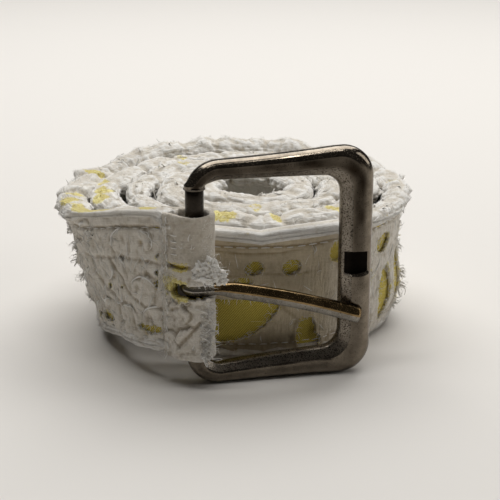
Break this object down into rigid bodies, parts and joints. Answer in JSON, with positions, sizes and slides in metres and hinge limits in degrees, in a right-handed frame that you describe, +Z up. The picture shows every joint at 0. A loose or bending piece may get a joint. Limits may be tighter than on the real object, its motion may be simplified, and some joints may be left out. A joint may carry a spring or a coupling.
{
  "type": "rolled waist belt with prong buckle",
  "caption": "Distressed cloth waist belt with slashed face over coloured canvas, rolled up and stood on its edge, with a single-prong metal frame buckle.",
  "frame": {"origin": "centre of the overall footprint on the ground the belt stands on", "axes": "+Z up, -Y towards the side with the buckle, +X to the right as seen from that side"},
  "size_m": [0.0964, 0.1009, 0.06],
  "materials": {
    "lining": "matt woven lining, off-white",
    "canvas": "matt woven canvas, lemon yellow",
    "face": "matt slashed and frayed cloth, off-white",
    "edge_roll": "soft gathered and frayed cloth, off-white",
    "thread": "matt sewing thread, off-white",
    "nickel": "antique nickel plate, worn and pitted, satin"
  },
  "bodies": {
    "coil": {"lining_coil": "lining", "canvas_coil": "canvas", "face_coil": "face", "top_roll_coil": "edge_roll", "bottom_roll_coil": "edge_roll", "top_stitching_coil": "thread", "bottom_stitching_coil": "thread"},
    "strap_end": {"lining_end": "lining", "canvas_end": "canvas", "face_end": "face", "top_roll_end": "edge_roll", "bottom_roll_end": "edge_roll", "top_stitching_end": "thread", "bottom_stitching_end": "thread", "chape": "face", "chape_tacks": "thread"},
    "buckle": {"buckle_frame": "nickel", "buckle_bar": "nickel"},
    "prong": {"prong": "nickel"}
  },
  "joints": [
    {"name": "strap_end_peel", "type": "hinge", "parent": "coil", "child": "strap_end", "pos_m": [-0.04899, -0.00571, 0.019], "axis": [0, 0, -1], "range_deg": [0, 60]},
    {"name": "frame_swing", "type": "hinge", "parent": "strap_end", "child": "buckle", "pos_m": [-0.00931, -0.04509, 0.03], "axis": [0, 0, -1], "range_deg": [0, 60]},
    {"name": "prong_swing", "type": "hinge", "parent": "buckle", "child": "prong", "pos_m": [-0.00931, -0.04509, 0.026], "axis": [0, 0, -1], "range_deg": [0, 45]}
  ]
}
